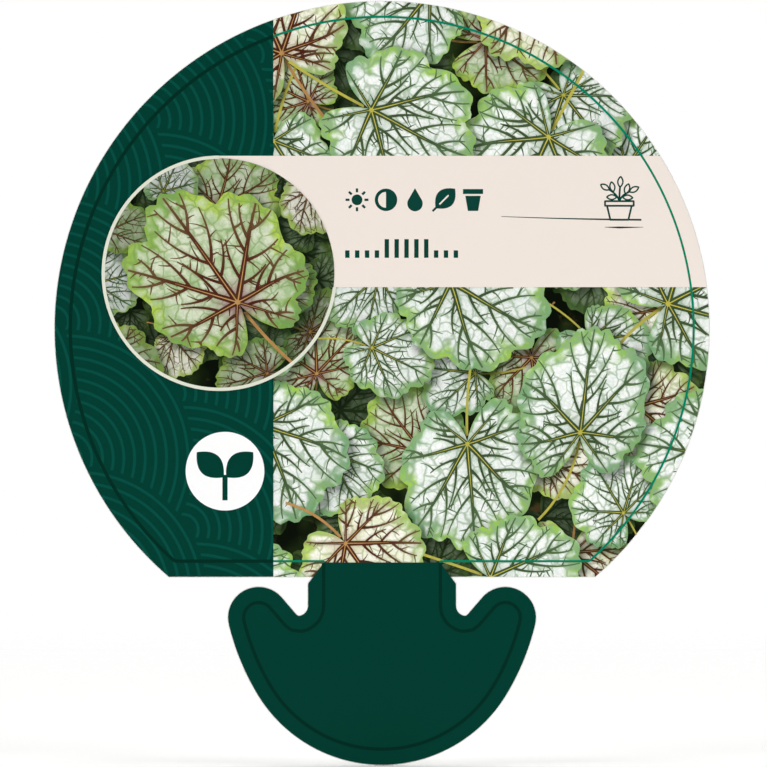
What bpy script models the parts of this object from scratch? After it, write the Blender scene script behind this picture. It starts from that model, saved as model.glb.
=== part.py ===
"""A plant label, die-cut as one piece from stiff plastic sheet: a round head with a straight lower edge,
a short neck, and an anchor-shaped foot whose two arms lock the neck in a slot in a pot's rim.

Units are metres and +Z is up. The label stands upright, with its printed face towards -Y. The origin is
in the middle of the neck, on the back face. The outline is the same on both sides of the Z axis, so the
right-hand half is worked out and its mirror image closes it.
"""

import math

import bmesh
import bpy

SHEET_THICKNESS = 0.0006
EDGE_ROUNDING = 0.00008  # the soft edge that a cutting die leaves on both faces
EDGE_SEGMENTS = 2

HEAD_RADIUS = 0.0492
HEAD_CENTRE_HEIGHT = 0.0402
SHOULDER_HEIGHT = 0.00285  # the head's straight lower edge

NECK_HALF_WIDTH = 0.0112
NECK_ROOT_HALF_WIDTH = 0.0106
NECK_ROOT_DROP = 0.0008  # height of the slanting cut between the shoulder and the neck's side

NOTCH_RADIUS = 0.0014
NOTCH_BOTTOM_HEIGHT = -0.0028

ARM_TIP_RADIUS = 0.0047
ARM_TIP_OFFSET = 0.0185
ARM_TIP_HEIGHT = -0.00315

FOOT_RADIUS = 0.0219
FOOT_CENTRE_HEIGHT = -0.00345
FOOT_SIDE_START = math.radians(-31)  # direction, seen from the foot's centre, where its flatter side starts

ARC_TOLERANCE = 0.000006  # how far a chord may lie inside its arc
FLAT_FACE = 0.99  # a face whose normal has this much of Y is one of the sheet's two flat faces

SHEET_WHITE = (0.80, 0.80, 0.77)
PRINTED_GREEN = (0.0, 0.045, 0.032)
SHEET_ROUGHNESS = 0.45
PRINT_ROUGHNESS = 0.35


def polar(centre, radius, angle):
    """The point at this distance and direction from the centre."""
    return centre[0] + radius * math.cos(angle), centre[1] + radius * math.sin(angle)


def arc(centre, radius, start, end):
    """Points from angle start to angle end, both included, as many as keep the chords within tolerance."""
    widest_step = 2 * math.acos(1 - ARC_TOLERANCE / radius)
    steps = max(2, math.ceil(abs(end - start) / widest_step))
    return [polar(centre, radius, start + (end - start) * i / steps) for i in range(steps + 1)]


def direction(start, end):
    return math.atan2(end[1] - start[1], end[0] - start[0])


def head_points():
    """The round edge, from the top down to the shoulder, where the straight lower edge cuts it off."""
    lowest = -math.asin((HEAD_CENTRE_HEIGHT - SHOULDER_HEIGHT) / HEAD_RADIUS)
    return arc((0.0, HEAD_CENTRE_HEIGHT), HEAD_RADIUS, math.pi / 2, lowest)


def neck_points():
    """The slanting cut at the neck's root, the neck's side, and the round bottom of the notch beside it."""
    centre = (NECK_HALF_WIDTH + NOTCH_RADIUS, NOTCH_BOTTOM_HEIGHT + NOTCH_RADIUS)
    root = (NECK_ROOT_HALF_WIDTH, SHOULDER_HEIGHT)
    side = (NECK_HALF_WIDTH, SHOULDER_HEIGHT - NECK_ROOT_DROP)
    return [root, side] + arc(centre, NOTCH_RADIUS, math.pi, 1.5 * math.pi)


def side_circle(foot_centre, tip_centre):
    """Centre and radius of the flatter side's circle. It passes into the foot's round bottom without a kink,
    so its centre lies on the line through the foot's centre there, and it touches the arm tip's circle from
    outside, so the distance between their centres is the difference between their radii."""
    away = (math.cos(FOOT_SIDE_START), math.sin(FOOT_SIDE_START))
    to_tip = (tip_centre[0] - foot_centre[0], tip_centre[1] - foot_centre[1])
    difference = FOOT_RADIUS - ARM_TIP_RADIUS
    square = to_tip[0] ** 2 + to_tip[1] ** 2
    along = to_tip[0] * away[0] + to_tip[1] * away[1]
    growth = (square - difference**2) / (2 * (difference - along))
    centre = (foot_centre[0] - growth * away[0], foot_centre[1] - growth * away[1])
    return centre, FOOT_RADIUS + growth


def foot_points():
    """The straight flank from the notch up to the arm, the arm's round tip, the flatter side and the round
    bottom. The flank is the line from the notch's lowest point that touches the tip's circle."""
    foot_centre = (0.0, FOOT_CENTRE_HEIGHT)
    tip_centre = (ARM_TIP_OFFSET, ARM_TIP_HEIGHT)
    notch = (NECK_HALF_WIDTH + NOTCH_RADIUS, NOTCH_BOTTOM_HEIGHT)
    reach = math.hypot(tip_centre[0] - notch[0], tip_centre[1] - notch[1])
    flank = direction(notch, tip_centre) + math.asin(ARM_TIP_RADIUS / reach)
    side_centre, side_radius = side_circle(foot_centre, tip_centre)
    widest = direction(side_centre, tip_centre)
    tip = arc(tip_centre, ARM_TIP_RADIUS, flank + math.pi / 2, widest)
    side = arc(side_centre, side_radius, widest, FOOT_SIDE_START)
    bottom = arc(foot_centre, FOOT_RADIUS, FOOT_SIDE_START, -math.pi / 2)
    return tip + side[1:] + bottom[1:]


def outline_points():
    """The whole outline, clockwise from the top of the head. The two points on the axis come once."""
    right = head_points() + neck_points() + foot_points()
    left = [(-x, z) for x, z in reversed(right[1:-1])]
    return right + left


def new_material(name, colour, roughness):
    material = bpy.data.materials.new(name)
    material.use_nodes = True
    shader = material.node_tree.nodes["Principled BSDF"]
    shader.inputs["Base Color"].default_value = (*colour, 1.0)
    shader.inputs["Roughness"].default_value = roughness
    shader.inputs["Metallic"].default_value = 0.0
    return material


def outline_curve(points):
    """A filled 2D curve of the outline, half the sheet's thickness to each side, stood upright."""
    curve = bpy.data.curves.new("label outline", "CURVE")
    curve.dimensions = "2D"
    curve.fill_mode = "BOTH"
    curve.extrude = SHEET_THICKNESS / 2
    spline = curve.splines.new("POLY")
    spline.points.add(len(points) - 1)
    for point, (x, z) in zip(spline.points, points):
        point.co = (x, z, 0.0, 1.0)
    spline.use_cyclic_u = True
    drawn = bpy.data.objects.new("label outline", curve)
    bpy.context.scene.collection.objects.link(drawn)
    drawn.rotation_euler = (math.pi / 2, 0.0, 0.0)
    drawn.location = (0.0, -SHEET_THICKNESS / 2, 0.0)
    bpy.context.view_layer.update()
    return drawn


def sheet_from_curve(drawn, collection):
    """The curve as one closed mesh, with each face of the sheet as a single flat polygon."""
    evaluated = drawn.evaluated_get(bpy.context.evaluated_depsgraph_get())
    mesh = bpy.data.meshes.new_from_object(evaluated)
    mesh.name = "label"
    mesh.transform(drawn.matrix_world)
    build = bmesh.new()
    build.from_mesh(mesh)
    bmesh.ops.remove_doubles(build, verts=build.verts, dist=ARC_TOLERANCE)
    for level in (0.0, -SHEET_THICKNESS):
        flat = [face for face in build.faces if all(abs(v.co.y - level) < ARC_TOLERANCE for v in face.verts)]
        bmesh.ops.dissolve_faces(build, faces=flat)
    bmesh.ops.recalc_face_normals(build, faces=build.faces)
    build.to_mesh(mesh)
    build.free()
    bpy.data.objects.remove(drawn)
    label = bpy.data.objects.new("label", mesh)
    collection.objects.link(label)
    return label


def round_cut_edges(label):
    """Rounds the edges where the cut side meets either face, and not the corners of the outline itself."""
    mesh = label.data
    weights = [0.0] * len(mesh.edges)
    for polygon in mesh.polygons:
        if abs(polygon.normal.y) > FLAT_FACE:
            for corner in polygon.loop_indices:
                weights[mesh.loops[corner].edge_index] = 1.0
    mesh.attributes.new("bevel_weight_edge", "FLOAT", "EDGE").data.foreach_set("value", weights)
    rounding = label.modifiers.new("rounded cut edges", "BEVEL")
    rounding.width = EDGE_ROUNDING
    rounding.segments = EDGE_SEGMENTS
    rounding.limit_method = "WEIGHT"
    rounding.material = 0


def colour_label(label):
    """White sheet all round, with the face towards -Y printed green."""
    mesh = label.data
    mesh.materials.clear()
    mesh.materials.append(new_material("white plastic sheet", SHEET_WHITE, SHEET_ROUGHNESS))
    mesh.materials.append(new_material("green printed face", PRINTED_GREEN, PRINT_ROUGHNESS))
    for polygon in mesh.polygons:
        polygon.material_index = 1 if polygon.normal.y < -FLAT_FACE else 0


def main():
    for old in list(bpy.data.objects):
        bpy.data.objects.remove(old)
    collection = bpy.data.collections.new("plant label")
    bpy.context.scene.collection.children.link(collection)
    label = sheet_from_curve(outline_curve(outline_points()), collection)
    colour_label(label)
    round_cut_edges(label)


main()
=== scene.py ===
"""Prints a plant label: a die-cut sheet of stiff white plastic with a round head and an anchor-shaped foot.

Units are metres. The label stands upright, with its printed face towards -Y, and every print is laid out in
x and z on that face. Each film of ink is a flat mesh a few thousandths of a millimetre in front of the sheet.
A film is worked out as whole arrays: a surface of two parameters, or a ribbon carried along a path, and it is
cut to the label's shape along the line where a signed distance is nought.
"""

import math

import bpy
import bmesh
import numpy as np
from bpy.props import FloatProperty, FloatVectorProperty, IntProperty, PointerProperty
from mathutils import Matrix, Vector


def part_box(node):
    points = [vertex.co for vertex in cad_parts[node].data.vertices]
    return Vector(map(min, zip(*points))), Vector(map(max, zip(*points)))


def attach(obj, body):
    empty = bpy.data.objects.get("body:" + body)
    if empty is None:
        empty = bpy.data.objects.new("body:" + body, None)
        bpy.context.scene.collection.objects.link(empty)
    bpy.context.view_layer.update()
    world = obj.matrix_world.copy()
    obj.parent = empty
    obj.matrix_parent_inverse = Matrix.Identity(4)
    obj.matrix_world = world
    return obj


bl_info = {
    "name": "Printed plant label",
    "version": (1, 0, 0),
    "blender": (4, 5, 0),
    "location": "3D View > Sidebar > Plant label",
    "description": "Lays the print, the finish and the stage round a die-cut plant label",
    "category": "Object",
}

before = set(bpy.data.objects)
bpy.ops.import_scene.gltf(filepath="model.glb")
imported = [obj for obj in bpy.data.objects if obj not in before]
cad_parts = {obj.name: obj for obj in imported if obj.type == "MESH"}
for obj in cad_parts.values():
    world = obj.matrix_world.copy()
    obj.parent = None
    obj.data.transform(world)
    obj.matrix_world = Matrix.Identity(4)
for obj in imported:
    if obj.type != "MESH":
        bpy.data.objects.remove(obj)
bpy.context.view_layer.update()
SHEET_LOW, SHEET_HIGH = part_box("label")
FACE = SHEET_LOW.y
LABEL_MIDDLE = (SHEET_LOW + SHEET_HIGH) / 2

MM = 0.001
MICRON = 0.000001
TURN = 2 * math.pi

# The die's outline, from the sheet's box and its smaller radii
HEAD_RADIUS = (SHEET_HIGH.x - SHEET_LOW.x) / 2
HEAD_CENTRE = np.array([0.0, SHEET_HIGH.z - HEAD_RADIUS])
SHOULDER = 2.85 * MM
NECK_HALF = 11.2 * MM
NECK_ROOT = (10.6 * MM, SHOULDER)
NECK_SLANT = 0.8 * MM
NOTCH_RADIUS = 1.4 * MM
NOTCH_BOTTOM = -2.8 * MM
TIP_RADIUS = 4.7 * MM
TIP_CENTRE = np.array([18.5 * MM, -3.15 * MM])
FOOT_RADIUS = 21.9 * MM
FOOT_CENTRE = np.array([0.0, SHEET_LOW.z + FOOT_RADIUS])
FOOT_SIDE_START = math.radians(-31)
OUTLINE_STEP = 0.15 * MM

# The printed parts of it
PRINT_INSET = 0.12 * MM  # the ink stops short of the rounded cut edge
PRINT_LOW = SHOULDER + PRINT_INSET
PRINT_TOP = HEAD_CENTRE[1] + HEAD_RADIUS - PRINT_INSET
NECK_PRINT = 8.7 * MM  # half the width of the green neck's top
FOOT_TOP = 5.1 * MM
FOOT_FAN = np.array([0.0, -20 * MM])  # every point of the neck and foot can be seen from here
OVERLAP = 0.1 * MM  # how far one print runs under the edge of another

# Heights of the films above the sheet's face
GROUND_LEVEL = 3 * MICRON
LEAF_LEVEL = 6 * MICRON
LEAF_STEP = 14 * MICRON
MIDRIB_LIFT = 10 * MICRON
STAR_LIFT = 12.5 * MICRON
LIFT_BETWEEN = 0.5 * MICRON  # neighbouring veins of one sort differ by this, so that none lies in another
LIFTS = 4
PANEL_LEVEL = 150 * MICRON
STRIPE_LEVEL = 153 * MICRON
BAND_LEVEL = 157 * MICRON
FOOT_LEVEL = 160 * MICRON
ROUNDEL_LEVEL = 162 * MICRON
MARK_LEVEL = 164 * MICRON
KEYLINE_LEVEL = 168 * MICRON
RING_LEVEL = 320 * MICRON
WELD = 0.2 * MICRON
SMALLEST_FACE = 1e-13

PRINT_SHEEN = 0.03
GRAIN_DEPTH = 20 * MICRON
EVEN = 0.03  # mottling of a plain ink


def screen(red, green, blue):
    """The linear colour of these screen values from 0 to 255."""
    value = np.array([red, green, blue]) / 255
    return tuple(np.where(value <= 0.04045, value / 12.92, ((value + 0.055) / 1.055) ** 2.4).tolist())


def length(name, default, description):
    """A length, with its default in millimetres."""
    return FloatProperty(name=name, description=description, default=default * MM, unit="LENGTH", precision=5)


def spot(name, x, z, description):
    """A place on the face, with its default in millimetres."""
    return FloatVectorProperty(
        name=name, description=description, default=(x * MM, z * MM), size=2, unit="LENGTH", precision=5
    )


def watts(name, default, description):
    return FloatProperty(name=name, description=description, default=default, min=0, unit="POWER")


def colour(name, red, green, blue, description):
    ink = screen(red, green, blue)
    return FloatVectorProperty(
        name=name, description=description, default=ink, size=3, min=0, max=1, subtype="COLOR"
    )


class LabelPanel(bpy.types.PropertyGroup):
    """The plain green side of the head and its tonal stripes."""

    edge: length("Panel's edge", -16.3, "Where the green panel ends and the picture starts, along X")
    fan_radius: length("Fan radius", 18.4, "Outermost arc of each fan of stripes")
    fan_turn: FloatProperty(
        name="Turn", description="Slant of the fans", default=math.radians(-58), subtype="ANGLE"
    )
    stripe_gap: length("Stripe gap", 1.6, "Distance from one arc of a fan to the next")
    stripe_width: length("Stripe width", 0.42, "Width of one printed arc")
    green: colour("Green", 0, 59, 48, "Ink of the panel and the foot")
    stripe_green: colour("Stripe green", 4, 75, 64, "Paler ink of the arcs")


class LabelBand(bpy.types.PropertyGroup):
    """The cream band with its row of marks."""

    low: length("Low edge", 46.4, "Height of the band's lower edge")
    high: length("High edge", 66.1, "Height of the band's upper edge")
    cream: colour("Cream", 238, 227, 218, "Ink of the band")
    ink: colour("Ink", 10, 64, 54, "Ink of the marks on the band")
    glyph: spot("First pictogram", -3.75, 59.5, "Middle of the first pictogram")
    glyph_pitch: length("Pictogram pitch", 4.35, "Distance from one pictogram to the next")
    glyph_size: length("Pictogram size", 3.5, "Height of a pictogram")
    scale: spot("Season scale", -5.2, 50.8, "Foot of the first bar")
    scale_pitch: length("Bar pitch", 1.48, "Distance from one bar to the next")
    scale_bar: length("Bar width", 0.66, "Width of a bar")
    scale_height: length("Bar height", 2.8, "Height of a bar in the season")
    drawing: spot("Drawing", 35.6, 56.5, "Middle of the drawn pot, on its ground line")


class LabelRoundel(bpy.types.PropertyGroup):
    """The round picture and the white disc below it."""

    centre: spot("Roundel", -24.4, 48.48, "Middle of the round picture")
    radius: length("Roundel radius", 17.65, "Outer radius of the ring round the picture")
    ring: length("Ring width", 0.5, "Width of the pale ring")
    ring_ink: colour("Ring", 221, 224, 207, "Ink of the pale ring")
    disc: spot("Disc", -23.55, 18.8, "Middle of the white disc")
    disc_radius: length("Disc radius", 5.9, "Radius of the white disc")


class LabelPicture(bpy.types.PropertyGroup):
    """The picture of leaves."""

    seed: IntProperty(name="Seed", description="Which arrangement of leaves is drawn", default=4, min=0)
    body: colour("Leaf body", 250, 252, 249, "Silvered face of a leaf")
    mottle: colour("Mottling", 236, 243, 238, "Cooler patches in the silvered face")
    net: colour("Fine net", 144, 172, 138, "Net of the smallest veins")
    beside: colour("Beside veins", 136, 168, 122, "Green that runs along the veins")
    tips: colour("Lobe tips", 112, 164, 112, "Margin at the tip of each lobe")
    sinuses: colour("Between lobes", 160, 204, 74, "Margin where two lobes meet")
    base: colour("Leaf base", 176, 196, 172, "Face round the end of the petiole")
    vein: colour("Veins", 62, 78, 50, "Veins near the leaf's base")
    midrib: colour("Midribs", 208, 198, 84, "Pale line along the middle of a main vein")
    gap: colour("Gaps", 6, 13, 4, "Darkness between the leaves")


class LabelKeyline(bpy.types.PropertyGroup):
    """The thin line that runs inside the whole outline."""

    inset: length("Inset", 2.45, "Distance from the cut edge to the line")
    width: length("Width", 0.32, "Width of the line over the picture and the band")
    dark_width: length("Dark width", 0.5, "Width of the line over green")
    green: colour("Green", 0, 128, 94, "Line over the picture and the band")
    dark: colour("Dark", 0, 44, 34, "Line over the panel and the foot")


class LabelStage(bpy.types.PropertyGroup):
    """The floor, the lights and the camera."""

    camera_distance: length("Camera distance", 1600, "From the camera to the label's face")
    frame_width: length("Frame width", 115.05, "Width that the picture shows at the label's face")
    aim: spot("Aim", 0.225, 31.95, "Middle of the picture")
    floor: colour("Floor", 246, 246, 245, "Pale floor")
    floor_radius: length("Floor radius", 900, "Where the floor has faded into the white round it")
    key_power: watts("Key power", 14.6, "Power of each soft light in front of the label")
    rear_power: watts("Rear power", 11.0, "Power of each soft light behind the label")
    top_power: watts("Overhead power", 27.0, "Power of the soft light over the label")
    sky: FloatProperty(
        name="Sky", description="Strength of the light all round", default=0.2, subtype="FACTOR"
    )


GROUPS = {
    "label_panel": LabelPanel,
    "label_band": LabelBand,
    "label_roundel": LabelRoundel,
    "label_picture": LabelPicture,
    "label_keyline": LabelKeyline,
    "label_stage": LabelStage,
}


class Film:
    """A flat printed mesh: points in x and z, triangles, and values painted on the points."""

    def __init__(self, points, faces, **painted):
        self.points = points
        self.faces = faces
        self.painted = {}
        self.paint(**painted)

    def paint(self, **values):
        for name, value in values.items():
            self.painted[name] = np.broadcast_to(value, len(self.points)).astype(float)
        return self

    def trim(self, *sides):
        """What each signed function leaves of the film, one after another."""
        film = self
        for signed in sides:
            if len(film.faces):
                film = film.cut(signed(film.points))
        return film

    def cut(self, value):
        """Cuts along the line where the value is nought and keeps the side where it is above nought. Along
        each cut side the new corner lies where the value, taken as straight between the corners, passes
        nought. A triangle that loses one corner becomes two triangles, and one that loses two becomes
        one."""
        rows = np.column_stack([self.points, *self.painted.values()])
        lost = value[self.faces] <= 0
        count = lost.sum(axis=1)
        kept = [self.faces[count == 0]]
        parts, total = [rows], len(rows)
        for number in (1, 2):
            faces = self.faces[count == number]
            odd = np.argmax(lost[count == number] == (number == 1), axis=1)[:, None]
            lone, second, third = (np.take_along_axis(faces, (odd + i) % 3, 1)[:, 0] for i in range(3))
            fresh = total + np.arange(2 * len(faces)).reshape(2, -1)
            for other in (second, third):
                along = (value[lone] / (value[lone] - value[other]))[:, None]
                parts.append(rows[lone] + along * (rows[other] - rows[lone]))
            total += 2 * len(faces)
            if number == 1:
                kept.append(np.column_stack([fresh[0], second, third]))
                kept.append(np.column_stack([fresh[0], third, fresh[1]]))
            else:
                kept.append(np.column_stack([lone, fresh[0], fresh[1]]))
        used, faces = np.unique(np.concatenate(kept), return_inverse=True)
        rows = np.concatenate(parts)[used]
        return Film(rows[:, :2], faces.reshape(-1, 3), **dict(zip(self.painted, rows[:, 2:].T)))


def join(films):
    """One film from several with the same painted values."""
    films = [film for film in films if len(film.faces)]
    starts = np.cumsum([0] + [len(film.points) for film in films[:-1]])
    faces = np.concatenate([film.faces + start for film, start in zip(films, starts)])
    painted = {name: np.concatenate([film.painted[name] for film in films]) for name in films[0].painted}
    return Film(np.concatenate([film.points for film in films]), faces, **painted)


def grid_faces(rows, columns, closed=False):
    """Two triangles for each cell of a grid whose points are numbered row by row."""
    across = np.arange(columns if closed else columns - 1)
    down = np.arange(rows - 1)[:, None] * columns
    a, b = down + across, down + (across + 1) % columns
    quads = np.stack([a, b, b + columns, a + columns], axis=-1).reshape(-1, 4)
    return np.concatenate([quads[:, [0, 1, 2]], quads[:, [0, 2, 3]]])


def span(low, high, left, right, rows, columns):
    """The surface between two upright lines: u runs from low to high, and v runs straight across from the
    left line to the right one at that height. Each line is a number, or a function of height."""
    z = np.linspace(low, high, rows)[:, None]
    start, end = (side(z) if callable(side) else np.full(z.shape, side) for side in (left, right))
    x = start + (end - start) * np.linspace(0, 1, columns)
    return Film(np.stack([x, np.broadcast_to(z, x.shape)], axis=-1).reshape(-1, 2), grid_faces(rows, columns))


def fan(centre, path, rings, ease=1.0):
    """The surface from one point out to a closed path: u runs round the path and v runs straight out to it,
    in steps that grow smaller outwards where the ease is above 1. The centre is the last point."""
    out = 1 - (1 - np.linspace(0, 1, rings + 1)[1:, None, None]) ** ease
    rim = (centre + out * (path - centre)).reshape(-1, 2)
    count = len(path)
    inner = np.arange(count)
    hub = np.column_stack([np.full(count, len(rim)), inner, (inner + 1) % count])
    return Film(np.vstack([rim, centre]), np.concatenate([grid_faces(rings, count, closed=True), hub]))


def polar(angle):
    return np.stack([np.cos(angle), np.sin(angle)], axis=-1)


def arc(centre, radius, start, end, count):
    return np.array(centre, float) + radius * polar(np.linspace(start, end, count))


def circle(centre, radius, count):
    """A closed path, as fan and ribbons take it."""
    return arc(centre, radius, 0, TURN, count + 1)[:-1]


def disc(centre, radius, rings=2, count=180):
    return fan(np.array(centre, float), circle(centre, radius, count), rings)


def ribbons(paths, half, closed=False):
    """Flat strips along paths. Each point steps to both sides by its half width, along the path's direction
    turned a quarter, where the direction is the difference of the two neighbouring points."""
    if closed:
        ahead = np.roll(paths, -1, axis=1) - np.roll(paths, 1, axis=1)
    else:
        ahead = np.gradient(paths, axis=1)
    ahead /= np.maximum(np.linalg.norm(ahead, axis=2, keepdims=True), 1e-12)
    number, steps = paths.shape[:2]
    half = np.broadcast_to(half, (number, steps))[..., None]
    side = np.stack([-ahead[..., 1], ahead[..., 0]], axis=-1) * half
    strip = grid_faces(steps, 2)
    if closed:
        last = 2 * (steps - 1)
        strip = np.vstack([strip, [[last, last + 1, 1], [last, 1, 0]]])
    faces = (strip + np.arange(number)[:, None, None] * 2 * steps).reshape(-1, 3)
    return Film(np.stack([paths + side, paths - side], axis=2).reshape(-1, 2), faces)


def rotation(angle):
    return np.array([[math.cos(angle), -math.sin(angle)], [math.sin(angle), math.cos(angle)]])


def curves(start, middle, end, count):
    """Curves of the second degree, all sampled at once."""
    t = np.linspace(0, 1, count)[None, :, None]
    start, middle, end = start[:, None], middle[:, None], end[:, None]
    return (1 - t) ** 2 * start + 2 * t * (1 - t) * middle + t**2 * end


def curve(start, middle, end, count):
    return curves(*(np.array([point], float) for point in (start, middle, end)), count)[0]


def direction(vector):
    return math.atan2(vector[1], vector[0])


def resample(path, step):
    """Points at even steps along a closed path."""
    looped = np.vstack([path, path[:1]])
    reach = np.concatenate([[0], np.cumsum(np.linalg.norm(np.diff(looped, axis=0), axis=1))])
    at = np.linspace(0, reach[-1], round(reach[-1] / step), endpoint=False)
    return np.column_stack([np.interp(at, reach, looped[:, i]) for i in range(2)])


def die_outline():
    """The cut outline as one closed path, clockwise from the top. The right half is the head's circle, the
    slant at the neck's root, the round notch, the flank that touches the arm's round tip, the flatter side,
    whose circle passes into the foot's without a kink, and the foot's circle. The left half is its mirror
    image."""
    lowest = -math.asin((HEAD_CENTRE[1] - SHOULDER) / HEAD_RADIUS)
    head = arc(HEAD_CENTRE, HEAD_RADIUS, math.pi / 2, lowest, 400)
    neck = np.array([NECK_ROOT, (NECK_HALF, SHOULDER - NECK_SLANT)])
    notch_centre = (NECK_HALF + NOTCH_RADIUS, NOTCH_BOTTOM + NOTCH_RADIUS)
    notch = arc(notch_centre, NOTCH_RADIUS, math.pi, 1.5 * math.pi, 24)
    to_tip = TIP_CENTRE - notch[-1]
    flank = direction(to_tip) + math.asin(TIP_RADIUS / math.hypot(*to_tip))
    away = polar(FOOT_SIDE_START)
    reach = TIP_CENTRE - FOOT_CENTRE
    difference = FOOT_RADIUS - TIP_RADIUS
    growth = (reach @ reach - difference**2) / (2 * (difference - reach @ away))
    side_centre = FOOT_CENTRE - growth * away
    widest = direction(TIP_CENTRE - side_centre)
    tip = arc(TIP_CENTRE, TIP_RADIUS, flank + math.pi / 2, widest, 60)
    side = arc(side_centre, FOOT_RADIUS + growth, widest, FOOT_SIDE_START, 60)
    foot = arc(FOOT_CENTRE, FOOT_RADIUS, FOOT_SIDE_START, -math.pi / 2, 120)
    right = np.vstack([head, neck, notch, tip, side[1:], foot[1:]])
    return resample(np.vstack([right, right[-2:0:-1] * (-1, 1)]), OUTLINE_STEP)


def inset_outline(distance):
    """The outline moved inwards: every point steps inwards along the outline's normal, and those that come
    nearer than the distance to any part of the outline, which are the loops in its corners, are left out.
    Three rounds of averages of each point with its neighbours smooth what is left."""
    path = die_outline()
    ahead = np.roll(path, -1, axis=0) - np.roll(path, 1, axis=0)
    ahead /= np.linalg.norm(ahead, axis=1, keepdims=True)
    moved = path + distance * np.column_stack([ahead[:, 1], -ahead[:, 0]])
    gap = np.sqrt(((moved[:, None] - path[None]) ** 2).sum(axis=2).min(axis=1))
    path = resample(moved[gap > distance - 0.02 * OUTLINE_STEP], OUTLINE_STEP)
    for _ in range(3):
        path = (np.roll(path, 1, axis=0) + 2 * path + np.roll(path, -1, axis=0)) / 4
    return path


def head_side(sign):
    """The printed head's edge as a function of height, to its left with sign -1 or to its right with 1."""
    radius = HEAD_RADIUS - PRINT_INSET
    return lambda z: sign * np.sqrt(np.maximum(radius**2 - (z - HEAD_CENTRE[1]) ** 2, 0))


def in_circle(centre, radius):
    return lambda points: radius - np.linalg.norm(points - np.array(centre, float), axis=1)


def out_of(signed):
    return lambda points: -signed(points)


def right_of(x):
    return lambda points: points[:, 0] - x


def above(z):
    return lambda points: points[:, 1] - z


ON_HEAD = (in_circle(HEAD_CENTRE, HEAD_RADIUS - PRINT_INSET), above(PRINT_LOW))


def add_piece(name, film, level, material):
    """Puts a film into a mesh at its height above the face, with every triangle turned outwards, scraps
    dropped and shared points welded. A painted value called level is added to the height."""
    corners = film.points[film.faces]
    ab, ac = corners[:, 1] - corners[:, 0], corners[:, 2] - corners[:, 0]
    area = (ab[:, 0] * ac[:, 1] - ab[:, 1] * ac[:, 0]) / 2
    faces = np.where((area < 0)[:, None], film.faces[:, ::-1], film.faces)[np.abs(area) > SMALLEST_FACE]
    if not len(faces):
        raise RuntimeError(f"{name} has no face left")
    y = FACE - (level + film.painted.get("level", np.zeros(len(film.points))))
    mesh = bpy.data.meshes.new(name)
    mesh.from_pydata(np.column_stack([film.points[:, 0], y, film.points[:, 1]]), [], faces)
    for key, value in film.painted.items():
        if key != "level":
            mesh.attributes.new(key, "FLOAT", "POINT").data.foreach_set("value", value.astype(np.float32))
    welded = bmesh.new()
    welded.from_mesh(mesh)
    bmesh.ops.remove_doubles(welded, verts=welded.verts, dist=WELD)
    bmesh.ops.delete(welded, geom=[v for v in welded.verts if not v.link_faces], context="VERTS")
    welded.to_mesh(mesh)
    welded.free()
    mesh.materials.append(material)
    made = bpy.data.objects.new(name, mesh)
    bpy.context.scene.collection.objects.link(made)
    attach(made, "root")


# Materials

def node(tree, kind, values=None, **settings):
    """A node with its settings, and with each named or numbered input linked to an output or set to a
    value."""
    made = tree.nodes.new(kind)
    for key, value in settings.items():
        setattr(made, key, value)
    for key, value in (values or {}).items():
        put(tree, made.inputs[key], value)
    return made


def put(tree, socket, value):
    if isinstance(value, bpy.types.NodeSocket):
        tree.links.new(value, socket)
    elif socket.type == "RGBA":
        socket.default_value = (*value, 1.0)
    else:
        socket.default_value = value


def place(tree):
    return node(tree, "ShaderNodeTexCoord").outputs["Object"]


def noise(tree, scale, detail=2.0, output=0):
    values = {"Vector": place(tree), "Scale": scale, "Detail": detail}
    return node(tree, "ShaderNodeTexNoise", values).outputs[output]


def blend(tree, factor, first, second):
    values = {0: factor, 6: first, 7: second}
    return node(tree, "ShaderNodeMix", values, data_type="RGBA", clamp_factor=True).outputs[2]


def ramp(tree, value, low, high, to_low=0.0, to_high=1.0):
    values = {"Value": value, "From Min": low, "From Max": high, "To Min": to_low, "To Max": to_high}
    return node(tree, "ShaderNodeMapRange", values, interpolation_type="SMOOTHSTEP").outputs[0]


def maths(tree, operation, *inputs):
    return node(tree, "ShaderNodeMath", dict(enumerate(inputs)), operation=operation).outputs[0]


def add(tree, first, second):
    return maths(tree, "ADD", first, second)


def times(tree, first, second):
    return maths(tree, "MULTIPLY", first, second)


def swing(tree, value, amount):
    """How far a value from 0 to 1 is from its middle, times the amount."""
    return times(tree, maths(tree, "SUBTRACT", value, 0.5), amount)


def vectors(tree, operation, values):
    return node(tree, "ShaderNodeVectorMath", values, operation=operation).outputs[0]


def painted(tree, name):
    return node(tree, "ShaderNodeAttribute", attribute_name=name).outputs["Fac"]


def node_group(name, fill, inputs, outputs):
    """The shader node group of this name. A new one gets these sockets, and fill makes its nodes: a
    function of the tree and its inputs that gives back what goes to each output."""
    tree = bpy.data.node_groups.get(name)
    if tree is None:
        tree = bpy.data.node_groups.new(name, "ShaderNodeTree")
        for way, sockets in (("INPUT", inputs), ("OUTPUT", outputs)):
            for key, kind in sockets.items():
                tree.interface.new_socket(key, in_out=way, socket_type=f"NodeSocket{kind}")
        node(tree, "NodeGroupOutput", fill(tree, node(tree, "NodeGroupInput").outputs))
    return tree


INK_INPUTS = {"Color": "Color", "Mottle": "Float"}
INK_OUTPUTS = {"Color": "Color", "Roughness": "Float", "Height": "Float"}


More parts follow.
